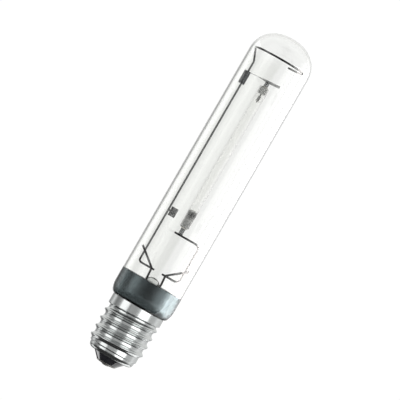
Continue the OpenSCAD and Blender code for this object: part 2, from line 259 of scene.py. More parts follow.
def add(name, shape, material, nodes, body="lamp", angle=38, bevel=0.0, between=None):
    """Makes a piece, shades it smooth up to an angle and puts it on its body; given between, it is left in
    place on no body.
    """
    mesh = bpy.data.meshes.new(name)
    verts, faces = shape
    mesh.from_pydata([Vector(v) * MM for v in verts], [], faces)
    bm = bmesh.new()
    bm.from_mesh(mesh)
    bmesh.ops.remove_doubles(bm, verts=bm.verts, dist=1e-8)
    bmesh.ops.dissolve_degenerate(bm, edges=bm.edges, dist=1e-9)
    bmesh.ops.recalc_face_normals(bm, faces=bm.faces)
    if bevel:
        sharp = [e for e in bm.edges if len(e.link_faces) == 2 and e.calc_face_angle() > math.radians(35)]
        bmesh.ops.bevel(bm, geom=sharp, offset=bevel * MM, segments=2, affect="EDGES", profile=0.6)
    for edge in bm.edges:
        edge.smooth = len(edge.link_faces) == 2 and edge.calc_face_angle() < math.radians(angle)
    for face in bm.faces:
        face.smooth = True
    bm.to_mesh(mesh)
    bm.free()
    piece = bpy.data.objects.new(name, mesh)
    bpy.context.scene.collection.objects.link(piece)
    mesh.materials.append(material)
    if between:
        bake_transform(piece)
    else:
        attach(piece, body)
    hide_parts(*nodes)
    return piece


# ---------- materials ----------

class Nodes:
    """A node tree, and short ways to add to it."""

    def __init__(self, tree):
        self.tree = tree

    def node(self, kind, **settings):
        made = self.tree.nodes.new(kind)
        for key, value in settings.items():
            setattr(made, key, value)
        return made

    def link(self, a, b):
        self.tree.links.new(a, b)

    def feed(self, socket, value):
        """Links an output to a socket, or sets a number or a colour on it."""
        if isinstance(value, bpy.types.NodeSocket):
            self.link(value, socket)
        elif isinstance(value, tuple):
            socket.default_value = (*value, 1)
        else:
            socket.default_value = value

    def math(self, kind, *values):
        made = self.node("ShaderNodeMath", operation=kind)
        for socket, value in zip(made.inputs, values):
            self.feed(socket, value)
        return made.outputs[0]

    def remap(self, value, a, b, c, d):
        """Goes smoothly from c to d while the value goes from a to b."""
        made = self.node("ShaderNodeMapRange", interpolation_type="SMOOTHSTEP")
        for socket, number in zip(made.inputs, (value, a, b, c, d)):
            self.feed(socket, number)
        return made.outputs[0]

    def tones(self, value, *stops):
        """Colours along a value: (place, (r, g, b)) each."""
        ramp = self.node("ShaderNodeValToRGB")
        elements = ramp.color_ramp.elements
        while len(elements) < len(stops):
            elements.new(0.5)
        for element, (place, colour) in zip(elements, stops):
            element.position = place
            element.color = (*colour, 1)
        self.link(value, ramp.inputs[0])
        return ramp.outputs[0]

    def blend(self, share, a, b):
        """Colour a where share is 0 and colour b where it is 1."""
        made = self.node("ShaderNodeMix", data_type="RGBA")
        for socket, value in zip((made.inputs[0], made.inputs[6], made.inputs[7]), (share, a, b)):
            self.feed(socket, value)
        return made.outputs[2]

    def mix_shaders(self, share, a, b, out):
        """Shader a where share is 0 and shader b where it is 1, on to the output node."""
        both = self.node("ShaderNodeMixShader")
        for socket, value in zip(both.inputs, (share, a.outputs[0], b.outputs[0])):
            self.link(value, socket)
        self.link(both.outputs[0], out.inputs[0])


class Paint(Nodes):
    """A Principled material whose colour, roughness and relief come from noise in the object's own space."""

    def __init__(self, name, **values):
        self.material = bpy.data.materials.new(name)
        self.material.use_nodes = True
        super().__init__(self.material.node_tree)
        self.tree.nodes.clear()
        self.out = self.node("ShaderNodeOutputMaterial")
        self.shader = self.node("ShaderNodeBsdfPrincipled")
        self.link(self.shader.outputs[0], self.out.inputs[0])
        self.coords = self.node("ShaderNodeTexCoord")
        for socket, value in values.items():
            self.shader.inputs[socket.replace("_", " ")].default_value = value

    def noise(self, size, stretch=(1, 1, 1), detail=4.0, rough=0.55):
        """Noise whose features are about size millimetres across."""
        place = self.node("ShaderNodeMapping")
        place.inputs["Scale"].default_value = stretch
        self.link(self.coords.outputs["Object"], place.inputs["Vector"])
        texture = self.node("ShaderNodeTexNoise")
        texture.inputs["Scale"].default_value = 1 / (size * MM)
        texture.inputs["Detail"].default_value = detail
        texture.inputs["Roughness"].default_value = rough
        self.link(place.outputs["Vector"], texture.inputs["Vector"])
        return texture.outputs[0]

    def along(self, axis, start, end):
        """0 before start and 1 past end, in millimetres along one of the object's axes."""
        split = self.node("ShaderNodeSeparateXYZ")
        self.link(self.coords.outputs["Object"], split.inputs[0])
        return self.remap(split.outputs[axis], start * MM, end * MM, 0, 1)

    def edge_on(self, start, end):
        """0 where the surface faces the eye and 1 where it is seen edge-on."""
        weight = self.node("ShaderNodeLayerWeight")
        weight.inputs["Blend"].default_value = 0.5
        return self.remap(weight.outputs["Facing"], start, end, 0, 1)

    def colour(self, value):
        self.link(value, self.shader.inputs["Base Color"])

    def roughness(self, value, a, b):
        """Roughness that varies from a to b with noise."""
        self.link(self.remap(value, 0.3, 0.7, a, b), self.shader.inputs["Roughness"])

    def opacity(self, value):
        self.link(value, self.shader.inputs["Alpha"])

    def relief(self, value, depth):
        """Bump, depth in millimetres."""
        bump = self.node("ShaderNodeBump")
        bump.inputs["Distance"].default_value = depth * MM
        self.link(value, bump.inputs["Height"])
        self.link(bump.outputs[0], self.shader.inputs["Normal"])

    def clear_in_shadow(self, tint):
        """Light comes straight through, tinted, so that what is inside is lit."""
        path = self.node("ShaderNodeLightPath")
        through = self.node("ShaderNodeBsdfTransparent")
        self.feed(through.inputs[0], tint)
        self.mix_shaders(path.outputs["Is Shadow Ray"], self.shader, through, self.out)


def metal(name, dark, light, size, rough, depth=0.0, stretch=(1, 1, 1)):
    """Bare metal with clouds of two tones, size millimetres across, and finer relief."""
    paint = Paint(name, Metallic=1.0)
    broad = paint.noise(size, stretch)
    paint.colour(paint.tones(broad, (0.3, dark), (0.7, light)))
    paint.roughness(paint.noise(size * 0.6, stretch, detail=6), *rough)
    if depth:
        paint.relief(paint.noise(size * 0.25, stretch, detail=6), depth)
    return paint.material


def nickel():
    """Bright plating with faint clouds and fine scuffs round the shell."""
    paint = Paint("nickel_plated_shell", Metallic=1.0)
    cloud = paint.noise(9, (1, 1, 0.5))
    scuffs = paint.noise(1.2, (1, 1, 9), detail=8, rough=0.7)
    paint.colour(paint.tones(cloud, (0.3, (0.585, 0.605, 0.60)), (0.7, (0.65, 0.668, 0.663))))
    paint.roughness(scuffs, 0.17, 0.26)
    paint.relief(paint.noise(3.5, (1, 1, 1.6), detail=2), 0.012)
    return paint.material


def vitrite():
    """Smooth black glass."""
    paint = Paint("black_insulating_glass", IOR=1.62)
    cloud = paint.noise(4)
    paint.colour(paint.tones(cloud, (0.3, (0.004, 0.004, 0.005)), (0.7, (0.012, 0.012, 0.014))))
    paint.roughness(paint.noise(2.5), 0.04, 0.12)
    paint.relief(paint.noise(5, detail=2), 0.03)
    return paint.material


def glass(name, ior, light, dark, size=30, edge=None, painted_left_shade=None, rough=None):
    """Clear glass. It may carry painted shade on the left, below the dome, and be greyer where it is seen
    edge-on.
    """
    paint = Paint(name, Transmission_Weight=1.0, IOR=ior, Roughness=0.0)
    colour = paint.tones(paint.noise(size, detail=2), (0.3, dark), (0.7, light))
    # Painted shade: below the dome, the glass left of X 0 to 3 mm takes a darker tint
    if painted_left_shade:
        in_dome = paint.along("Z", DOME_TOP - 26, DOME_TOP - 12)
        colour = paint.blend(paint.math("MAXIMUM", paint.along("X", 0, 3), in_dome), painted_left_shade, colour)
    if edge:
        colour = paint.blend(paint.edge_on(0.82, 0.97), colour, edge)
    paint.colour(colour)
    if rough:
        paint.roughness(paint.noise(2), *rough)
    paint.clear_in_shadow((0.93, 0.935, 0.92))
    return paint.material


def film():
    """Evaporated barium: a dark mirror that thins out to nothing at its upper edge."""
    paint = Paint("barium_mirror", Metallic=1.0)
    cloud = paint.noise(11, (1, 1, 1.4), detail=5)
    paint.colour(paint.tones(cloud, (0.25, (0.042, 0.053, 0.056)), (0.55, (0.050, 0.061, 0.064)),
                             (0.8, (0.058, 0.068, 0.070))))
    paint.roughness(paint.noise(5), 0.22, 0.27)
    edge = paint.math("SUBTRACT", paint.along("Z", FILM_TOP - 1.7, FILM_TOP - 0.1),
                      paint.math("MULTIPLY", paint.noise(3, detail=5), 0.25))
    paint.opacity(paint.remap(edge, 0.05, 0.8, 1, 0))
    return paint.material


def wire_metal(name, reflection_from=None, reflection_to=None):
    """Dark fired wire, with a painted highlight that makes it paler on the lamp's right-hand side, and a
    painted reflection that makes it greyer between two heights.
    """
    paint = Paint(name, Metallic=1.0)
    cloud = paint.noise(2.5, detail=5)
    fired = paint.tones(cloud, (0.3, (0.004, 0.004, 0.0045)), (0.7, (0.018, 0.018, 0.019)))
    pale = paint.tones(cloud, (0.3, (0.13, 0.13, 0.13)), (0.7, (0.22, 0.22, 0.22)))
    # Painted highlight: past X 9.5 to 11.5 mm the wire turns pale grey
    colour = paint.blend(paint.along("X", 9.5, 11.5), fired, pale)
    # Painted reflection: between the two heights the wire is a streaky grey instead of fired black
    if reflection_from:
        streaks = paint.noise(3, (1, 1, 0.2))
        clean_and_reflection = paint.tones(streaks, (0.3, (0.11, 0.115, 0.115)), (0.7, (0.19, 0.195, 0.195)))
        band = paint.math("SUBTRACT", paint.along("Z", *reflection_from), paint.along("Z", *reflection_to))
        colour = paint.blend(band, colour, clean_and_reflection)
    paint.colour(colour)
    paint.roughness(paint.noise(1.5, (1, 1, 0.15), detail=6), 0.28, 0.48)
    paint.relief(paint.noise(0.6, (1, 1, 0.12)), 0.01)
    return paint.material


def alumina():
    """Thin milky ceramic, greyer edge-on and over the plugs, with dark deposits near the electrodes."""
    paint = Paint("translucent_alumina", IOR=1.3, Roughness=0.3)
    cloud = paint.noise(6, (1, 1, 0.4), detail=3)
    clean_and_reflection = paint.tones(cloud, (0.3, (0.80, 0.80, 0.79)), (0.7, (0.88, 0.88, 0.87)))
    sooty = paint.tones(cloud, (0.3, (0.04, 0.04, 0.042)), (0.7, (0.12, 0.12, 0.122)))
    backed = paint.tones(cloud, (0.3, (0.34, 0.345, 0.345)), (0.7, (0.44, 0.44, 0.44)))
    low_soot = paint.remap(paint.along("Z", ARC_LOW + 11, ARC_LOW + 15.5), 0, 1, 1, 0)
    high_soot = paint.remap(paint.along("Z", ARC_HIGH - 13, ARC_HIGH - 10), 0, 1, 0, 0.22)
    soot = paint.math("MAXIMUM", low_soot, high_soot)
    low_plug = paint.remap(paint.along("Z", ARC_LOW + 5, ARC_LOW + 11), 0, 1, 1, 0)
    plugs = paint.math("MAXIMUM", low_plug, paint.along("Z", ARC_HIGH - 5.6, ARC_HIGH - 4.6))
    edge = paint.edge_on(0.4, 0.85)
    rim = paint.tones(cloud, (0.3, (0.20, 0.20, 0.20)), (0.7, (0.26, 0.26, 0.26)))
    body = paint.blend(soot, paint.blend(edge, clean_and_reflection, rim), sooty)
    paint.colour(paint.blend(plugs, body, backed))
    cover = paint.math("MAXIMUM", paint.remap(soot, 0, 1, 0.055, 0.5), paint.remap(plugs, 0, 1, 0, 0.45))
    paint.opacity(paint.math("MAXIMUM", cover, paint.remap(edge, 0, 1, 0, 0.3)))
    paint.clear_in_shadow((0.86, 0.86, 0.85))
    return paint.material


def ceramic(name, dark, light, size=1.2):
    """Dull fired or set paste, with grain size millimetres across."""
    paint = Paint(name, IOR=1.6)
    paint.colour(paint.tones(paint.noise(size, detail=6), (0.3, dark), (0.7, light)))
    paint.roughness(paint.noise(size * 0.7), 0.55, 0.8)
    paint.relief(paint.noise(size * 0.2, detail=5), 0.02)
    return paint.material


def getter_alloy():
    """Coarse dark sintered powder."""
    paint = Paint("getter_alloy", Metallic=0.75)
    grain = paint.noise(0.9, detail=8, rough=0.75)
    paint.colour(paint.tones(grain, (0.32, (0.02, 0.022, 0.022)), (0.5, (0.07, 0.073, 0.073)),
                             (0.7, (0.17, 0.172, 0.17))))
    paint.roughness(paint.noise(0.5), 0.5, 0.8)
    paint.relief(grain, 0.06)
    return paint.material


NICKEL = nickel()
VITRITE = vitrite()
SOLDER = metal("soft_solder", (0.42, 0.42, 0.41), (0.62, 0.62, 0.60), 1.2, (0.22, 0.5), 0.06)
CONTACT = metal("tinned_brass", (0.20, 0.195, 0.18), (0.36, 0.35, 0.325), 2.5, (0.25, 0.45), 0.02)
# The envelope's last tint is painted shade for its left side, below the dome
CLEAR = glass("borosilicate_envelope", 1.48, (0.962, 0.965, 0.957), (0.955, 0.959, 0.95),
              edge=(0.74, 0.75, 0.745), painted_left_shade=(0.905, 0.911, 0.896))
STEM = glass("stem_glass", 1.4, (0.80, 0.815, 0.805), (0.70, 0.715, 0.705), size=8, rough=(0.14, 0.24))
FILM = film()
# Both wire metals carry a painted highlight on the lamp's right-hand side; the rod's also carries a painted
# reflection between the heights given
FIRED = wire_metal("fired_lead_wire")
ROD = wire_metal("frame_rod_wire", (75, 78), (231, 234))
CLIP = metal("fired_nickel_sheet", (0.06, 0.063, 0.068), (0.12, 0.124, 0.13), 1.8, (0.08, 0.14), 0.01)
STRAP = metal("rolled_nickel_strap", (0.13, 0.133, 0.135), (0.33, 0.332, 0.33), 2.2, (0.22, 0.4), 0.01,
              (0.2, 1, 1))
ALUMINA = alumina()
PLUG = ceramic("sintered_alumina", (0.36, 0.365, 0.365), (0.43, 0.43, 0.425))
FRIT = ceramic("sealing_frit", (0.55, 0.54, 0.49), (0.78, 0.76, 0.70), 0.6)
NIOBIUM = metal("niobium", (0.2, 0.205, 0.21), (0.34, 0.345, 0.35), 1.5, (0.08, 0.15), 0.008)
TUNGSTEN = metal("tungsten", (0.03, 0.03, 0.032), (0.08, 0.08, 0.083), 0.8, (0.3, 0.55), 0.01)
AMALGAM = metal("sodium_amalgam_metal", (0.16, 0.16, 0.17), (0.45, 0.45, 0.46), 0.7, (0.2, 0.6), 0.05)
GETTER = getter_alloy()
CEMENT = ceramic("cap_cement_paste", (0.42, 0.38, 0.30), (0.62, 0.58, 0.49), 1.5)
COPPER = metal("copper_wire_metal", (0.55, 0.28, 0.16), (0.80, 0.45, 0.30), 1.5, (0.25, 0.45))


# ---------- screw cap ----------

def thread_r(z, a):
    """Radius of the rolled thread at a height and an angle in degrees: a right-hand helix."""
    turn = (a - THREAD_A) / 360
    pitches = (z - THREAD_Z0) / PITCH - turn
    along = math.floor(pitches + 0.5) + turn
    # The crest grows out of the root over the first part of its first turn
    before, run_in = 0.22, 0.25
    crest = math.cos(math.pi * pitches) ** 4 * smooth((along + before) / run_in)
    slant, step_h = 0.8, 1.2
    skirt = smooth((z - SKIRT_EDGE - slant * math.cos(math.radians(a))) / step_h + 0.5)
    return mix(ROOT_R, CREST_R, max(crest, skirt))


def screw_shell(columns=256):
    """One thin sheet from the bead at its foot, up the outside, over the top edge and down the inside."""
    angles = [360 * j / columns for j in range(columns)]
    edge, row_h = SHELL_T / 2, 0.17
    foot = [(INSULATOR_R, LIP_Z + 0.25), (INSULATOR_R + 0.1, LIP_Z + 0.08), (INSULATOR_R + 0.35, LIP_Z)]
    foot += arc(BEAD_X, BEAD_Z, BEAD_R, -90, 14, 26)
    foot += [(ROOT_R - 0.78, BEAD_Z + 0.86), (ROOT_R - 0.42, CREASE_Z), (ROOT_R - 0.12, CREASE_Z + 0.22)]
    rows = [[(r, z)] * columns for r, z in foot]
    z = CREASE_Z + 0.45
    while z < CAP_TOP - edge - 0.05:
        rows.append([(thread_r(z, a), z) for a in angles])
        z += row_h
    rows += [[(r, z)] * columns for r, z in arc(CREST_R - edge, CAP_TOP - edge, edge, 0, 180, 10)]
    for i in range(1, round(CAP_TOP - CREASE_Z)):
        z = CAP_TOP - i
        thick = mix(ROLLED_T, SHELL_T, smooth((z - SKIRT_EDGE - 1.4) / 1.2))
        rows.append([(thread_r(z, a) - thick, z) for a in angles])
    inside_foot = [(ROOT_R - 0.6, CREASE_Z + 0.3)] + arc(BEAD_X, BEAD_Z, BEAD_R - SHELL_T, 6, -90, 10)
    rows += [[(r, z)] * columns for r, z in inside_foot + [(INSULATOR_R, LIP_Z + SHELL_T)]]
    turns = circle(columns)
    return skin([[(r * c, r * s, z) for (r, z), (c, s) in zip(row, turns)] for row in rows], closed=True)


add("cap_shell", screw_shell(), NICKEL, ["screw_shell"])

add("cap_insulator", lathe(eased([
    (1.6, CONTACT_TOP), (CONTACT_R + 0.1, CONTACT_TOP), (INSULATOR_R - 0.3, LIP_Z - 0.1),
    (INSULATOR_R - 0.02, LIP_Z + 0.3), (INSULATOR_R - 0.02, 9.2), (1.6, 9.0)], 0.25), 160),
    VITRITE, ["glass_insulator"])

add("cap_contact", lathe(eased([
    (2.6, 0.5), (CONTACT_R - 1.2, 0.95), (CONTACT_R - 0.25, 1.35), (CONTACT_R, 1.65),
    (CONTACT_R, CONTACT_TOP - 0.01), (1.1, CONTACT_TOP - 0.01), (1.1, 1.2), (2.6, 0.9)], 0.14), 160),
    CONTACT, ["centre_contact"])

add("cap_contact_solder", lathe([
    (0, 0.0), (1.5, 0.0), (1.85, 0.03), (2.2, 0.14), (2.5, 0.33), (2.68, 0.52), (2.6, 0.7), (2.3, 0.9),
    (1.05, 1.3), (1.05, 1.8), (0, 1.8)], 64),
    SOLDER, ["contact_solder"])


def solder_drop():
    """Low drop of solder on the back of the skirt, uneven round its edge."""
    radius, rise, depth = 1.5, 0.2, 0.35
    centre_z = low("shell_solder").z + radius
    rings, segments = 7, 32
    front = []
    for i in range(rings + 1):
        t = i / rings
        ring = []
        for j, (c, s) in enumerate(circle(segments)):
            r = radius * t * (1 + 0.06 * math.sin(3 * math.tau * j / segments + 1))
            on_skirt = math.sqrt(CREST_R ** 2 - (r * c) ** 2) - 0.02
            ring.append((r * c, on_skirt + rise * (1 - t ** 3), centre_z + r * s))
        front.append(ring)
    verts, faces = skin(front)
    base, last = len(verts), rings * segments
    verts += [(x, y - depth, z) for x, y, z in verts]
    faces += [[base + n for n in reversed(face)] for face in faces]
    rim = list(range(last, last + segments))
    return verts, faces + joined([rim, [base + n for n in rim]])


add("cap_side_solder", solder_drop(), SOLDER, ["shell_solder"])


# ---------- glass ----------

def envelope(depth, dome=72):
    """Half outline of the glass tube, from neck to dome, at a depth below its outer face."""
    r, h = BULB_R - depth, DOME_H - depth
    a = math.radians(BELLY_A)
    turn_x = BULB_R - BELLY_R + (BELLY_R - TURN_R) * math.cos(a)
    turn_z = BELLY_Z - (BELLY_R - TURN_R) * math.sin(a)
    fillet_r, fillet_z = 2, BELLY_Z - 10.5
    points = [(NECK_R - depth, NECK_Z)]
    points += arc(NECK_R + fillet_r, fillet_z, fillet_r + depth, 180, 95, 12)
    points += arc(turn_x, turn_z, TURN_R - depth, -TURN_A, -BELLY_A, 12)
    points += arc(BULB_R - BELLY_R, BELLY_Z, BELLY_R - depth, -BELLY_A * 0.9, 0, 16)
    for k in range(1, 40):
        points.append((r, mix(BELLY_Z, DOME_TOP - DOME_H, k / 40)))
    for i in range(dome + 1):
        t = math.radians(90 * i / dome)
        x = 0 if i == dome else r * math.cos(t) ** (2 / DOME_POWER)
        points.append((x, DOME_TOP - DOME_H + h * math.sin(t) ** (2 / DOME_POWER)))
    return points


add("bulb_envelope", lathe(envelope(0) + envelope(GLASS_T)[::-1], 192),
    CLEAR, ["outer_bulb"], angle=60)


def film_side(depth):
    """One face of the film, closely stepped near its upper edge, where it fades."""
    face = [p for p in envelope(depth) if FILM_LOW < p[1] < FILM_TOP]
    steps = [mix(FILM_TOP - 2.4, FILM_TOP, k / 8) for k in range(9)]
    return face + [(BULB_R - depth, z) for z in steps if z > face[-1][1]]


# The film touches the glass with no gap, so it is drawn just within the wall, by its inner face
add("bulb_getter_mirror", lathe(film_side(GLASS_T - 0.1) + film_side(GLASS_T - 0.03)[::-1], 192),
    FILM, ["getter_mirror"], angle=60)


def stem(segments=96):
    """Flared tube that is drawn in and pinched flat round the leads."""
    flare = NECK_R - GLASS_T - STEM_R
    flare_z = NECK_Z + flare
    pinch_z, pinch_h, press_half = 43, 11, 2.4
    thinning, thinning_h = 0.45, 0.8
    hollow_z, hollow_h = 48.6, 1.3
    shoulder_z, cap_z, round_z = 64.0, 66.0, PRESS_TOP - PRESS_R / 2
    round_w = PRESS_R * math.sqrt(0.75)

    def section(z, inset):
        """Half width, half thickness and squareness of the tube at a height."""
        flat = smooth((z - pinch_z) / pinch_h)
        half_w = STEM_R - inset
        half_t = mix(STEM_R, press_half, flat) - inset
        if z > round_z:
            half_w = math.sqrt(max(0.0, PRESS_R ** 2 - (z - PRESS_TOP + PRESS_R) ** 2)) - inset
        elif z > shoulder_z:
            half_w = mix(STEM_R, round_w, smooth((z - shoulder_z) / (round_z - shoulder_z))) - inset
        half_t *= 1 - thinning * smooth((z - PRESS_TOP + thinning_h) / thinning_h)
        return half_w, half_t, mix(2.0, 7.0, flat)

    def ring(z, half_w, half_t, power):
        """An outline that runs from an ellipse, at a power of 2, towards a rectangle."""
        return [(half_w * math.copysign(abs(c) ** (2 / power), c),
                 half_t * math.copysign(abs(s) ** (2 / power), s), z) for c, s in circle(segments)]

    def round_rings(points):
        return [ring(z, r, r, 2.0) for r, z in points]

    def steps(start, end, count):
        return [mix(start, end, k / count) for k in range(count + 1)]

    rim_r = NECK_R - GLASS_T
    inner = round_rings([(NECK_R - 0.05, NECK_Z - 0.02)] + arc(rim_r, NECK_Z, GLASS_T, -10, -90, 5))
    inner += round_rings(arc(rim_r, flare_z, flare + STEM_T, 270, 180, 14))
    inner += [ring(z, *section(z, STEM_T)) for z in steps(flare_z + 2, hollow_z, 14)]
    w, t, p = section(hollow_z + 0.6, STEM_T)
    for angle in (22.5, 45, 67.5, 90):
        narrow = max(math.cos(math.radians(angle)), 0.02)
        inner.append(ring(hollow_z + hollow_h * math.sin(math.radians(angle)), w * narrow, t * narrow, p))
    outer = round_rings(arc(rim_r, flare_z, flare, 265, 180, 16))
    heights = steps(flare_z + 1.5, shoulder_z - 0.2, 40) + steps(shoulder_z - 0.2, cap_z, 10)[1:]
    heights += [mix(cap_z, PRESS_TOP, math.sin(math.radians(5 * k))) for k in range(1, 18)]
    outer += [ring(z, *section(z, 0)) for z in heights]
    outer.append(ring(PRESS_TOP, 0.02, 0.02, section(PRESS_TOP, 0)[2]))
    verts, faces = skin(inner)
    base = len(verts)
    outer_verts, outer_faces = skin(outer)
    verts += outer_verts
    faces += [[base + n for n in face] for face in outer_faces]
    for end in (base, len(verts)):
        faces.append(list(range(end - segments, end)))
    foot = list(range(segments))
    return verts, faces + joined([foot, [base + n for n in foot]])


add("stem_press", stem(), STEM, ["glass_stem"], angle=60)


# ---------- wire frame ----------

LEAD_LOW, BRACE_LOW, BRACE_TOP, BRACE_Y = 58, 73.5, 84, -8
CRANK_Z = LOOP_Z - 9.2
ROD_FOOT_X, BRACKET_FOOT_X, BRACKET_X, BRACKET_END_X = -3.2, 2.7, 15.7, -4.1

for name, x, top_x, tip_x, seal_z in (("frame_lead", -5.0, -5.45, -18.2, PRESS_TOP - 3.9),
                                      ("return_lead", 5.9, 5.4, 18.2, PRESS_TOP - 4.9)):
    line = route([(x, 0, LEAD_LOW), (x, 0, PRESS_TOP - 1.5), (top_x, 0, BRACE_LOW),
                  (tip_x, BRACE_Y, BRACE_TOP)], [3, 1.2])
    weld = blob((top_x, 0.75, FOOT_Z), (0.78, 0.6, 0.78))
    seal = blob((x, 0, seal_z), (0.95, 0.95, 0.5))
    add(name + "_wire", together(sweep(line, LEAD_R, 20), weld, seal), FIRED, [name])


def rod():
    """Foot, long upright, outward crank and the open loop in the dome, bent from one wire."""
    bent = route([(ROD_FOOT_X, FRAME_Y, FOOT_Z), (-ROD_X, FRAME_Y, FOOT_Z), (-ROD_X, FRAME_Y, CRANK_Z),
                  (-LOOP_R, FRAME_Y, LOOP_Z), (-LOOP_R, 0, LOOP_Z)], [2, 2, 0.9])
    loop = [(x, y, LOOP_Z) for x, y in arc(0, 0, LOOP_R, 180, 428, 100)[1:]]
    return sweep(bent + loop, WIRE_R, 20)


def bracket():
    """C-shaped wire under the arc tube, with the weld that holds the tube's foot."""
    line = route([(BRACKET_FOOT_X, FRAME_Y, FOOT_Z), (BRACKET_X, FRAME_Y, FOOT_Z), (BRACKET_X, 0, BRACKET_Z),
                  (BRACKET_END_X, 0, BRACKET_Z)], [3.5, 3.5])
    return together(sweep(line, WIRE_R, 20), blob((0, 0, BRACKET_Z + 0.35), (1.2, 0.75, 0.5)))


add("frame_rod_wire", rod(), ROD, ["frame_rod"])
add("lower_bracket_wire", bracket(), FIRED, ["lower_bracket"])


def getter_flag():
    """Upright plate and the short tab that welds it to the rod."""
    lo, hi = low("getter_flag"), high("getter_flag")
    left, right, tab_right = -14.3, -9.3, -14.1
    front, back = lo.y + 0.03, hi.y - 0.03
    tab_z, tab_h = lo.z + 2.7, 1.2
    body = plate([(left, lo.y), (right, lo.y), (right, hi.y), (left, hi.y)], lo.z, hi.z)
    tab = plate([(lo.x, front), (tab_right, front), (tab_right, back), (lo.x, back)], tab_z, tab_z + tab_h)
    return together(body, tab)


add("getter_plate", getter_flag(), GETTER, ["getter_flag"], bevel=0.07)


def rolled_sleeve():
    """Sheet rolled round the rod, with its seam open at the back."""
    outline = arc(SLEEVE_X, SLEEVE_Y, SLEEVE_R, 120, 465, 72)
    outline += arc(SLEEVE_X, SLEEVE_Y, SLEEVE_R - SLEEVE_T, 465, 120, 72)
    return plate(outline, low("strap_clip").z, high("strap_clip").z)


add("strap_clip_sheet", rolled_sleeve(), CLIP, ["strap_clip"], bevel=0.06)


def strap():
    """Springy ribbon from the sleeve, turned level, with a hole that the free end's tube passes through."""
    start, end, width, thick = SLEEVE_X + SLEEVE_R - SLEEVE_T / 2, 8.8, 5.5, 0.25
    hole, square, across = FEED_R + 0.05, 2.45, 16
    n = across + 1

    def place(x, v, side):
        """A point of one face, from a place along the ribbon and one across it, from -1 to 1."""
        t = (x - start) / (end - start)
        half = width / 2 * mix(0.25, 1, smooth(t * 3))
        tilt = math.radians(20 * smooth(t * 1.6 - 0.1))
        y = mix(SLEEVE_Y, 0, smooth(t * 3)) + v * half * math.cos(tilt)
        z = STRAP_Z - 0.75 + 1.3 * t + 0.15 * math.sin(math.tau * t) + v * half * math.sin(tilt)
        return (x, y - side * thick / 2 * math.sin(tilt), z + side * thick / 2 * math.cos(tilt))

    columns = [mix(start, -square, k / 30) for k in range(31)]
    columns += [mix(-square, square, k / 16) for k in range(1, 16)]
    columns += [mix(square, end, k / 16) for k in range(17)]
    sheet = [[x, mix(-1, 1, j / across)] for x in columns for j in range(n)]
    corners = [i * n + j for i in range(len(columns) - 1) for j in range(across)]
    cells = [[k, k + 1, k + n + 1, k + n] for k in corners]
    middles = [(sum(sheet[i][0] for i in c) / 4, sum(sheet[i][1] for i in c) / 4 * width / 2) for c in cells]
    cells = [c for c, middle in zip(cells, middles) if math.hypot(*middle) > hole * 0.98]
    edges = [(p, q) for c in cells for p, q in zip(c, c[1:] + c[:1])]
    known = set(edges)
    rim = [(p, q) for p, q in edges if (q, p) not in known]
    for p, q in rim:
        x, y = sheet[p][0], sheet[p][1] * width / 2
        if math.hypot(x, y) < square * 1.2 and abs(sheet[p][1]) < 0.99:
            scale = hole / math.hypot(x, y)
            sheet[p] = [x * scale, y * scale / (width / 2)]
    size = len(sheet)
    verts = [place(x, v, 1) for x, v in sheet] + [place(x, v, -1) for x, v in sheet]
    faces = cells + [[i + size for i in reversed(c)] for c in cells]
    faces += [[q, p, p + size, q + size] for p, q in rim]
    used = sorted({i for face in faces for i in face})
    renumber = {old: new for new, old in enumerate(used)}
    return [verts[i] for i in used], [[renumber[i] for i in face] for face in faces]


add("upper_strap_ribbon", strap(), STRAP, ["upper_strap"], bevel=0.04,
    between=((-13.4, 0, STRAP_Z), (-2.4, 0, STRAP_Z)))


# ---------- arc tube ----------

def arc_tube():
    """Straight ceramic tube, with rings between its ends."""
    levels = [mix(ARC_LOW, ARC_HIGH, k / 4) for k in range(5)]
    outline = [(BORE_R, ARC_LOW)] + [(ARC_R, z) for z in levels] + [(BORE_R, z) for z in levels[:0:-1]]
    return lathe(eased(outline, 0.3), 96)


add("arc_tube_ceramic", arc_tube(), ALUMINA, ["arc_tube"],
    between=((0, 0, ARC_LOW), (0, 0, ARC_HIGH)))


def pellet():
    """Uneven drop of amalgam."""
    lo, hi = low("sodium_amalgam"), high("sodium_amalgam")
    middle, radius = (lo.x + hi.x) / 2, 0.72
    verts, faces = blob((middle, 0, (lo.z + hi.z) / 2), (radius, radius, (hi.z - lo.z) / 2), 18, 24)
    uneven = []
    for x, y, z in verts:
        wobble = 1 + 0.06 * math.sin(2.1 * z + 3 * math.atan2(y, x - middle))
        uneven.append((middle + (x - middle) * wobble, y * wobble, z))
    return uneven, faces


add("amalgam_pellet", pellet(), AMALGAM, ["sodium_amalgam"])


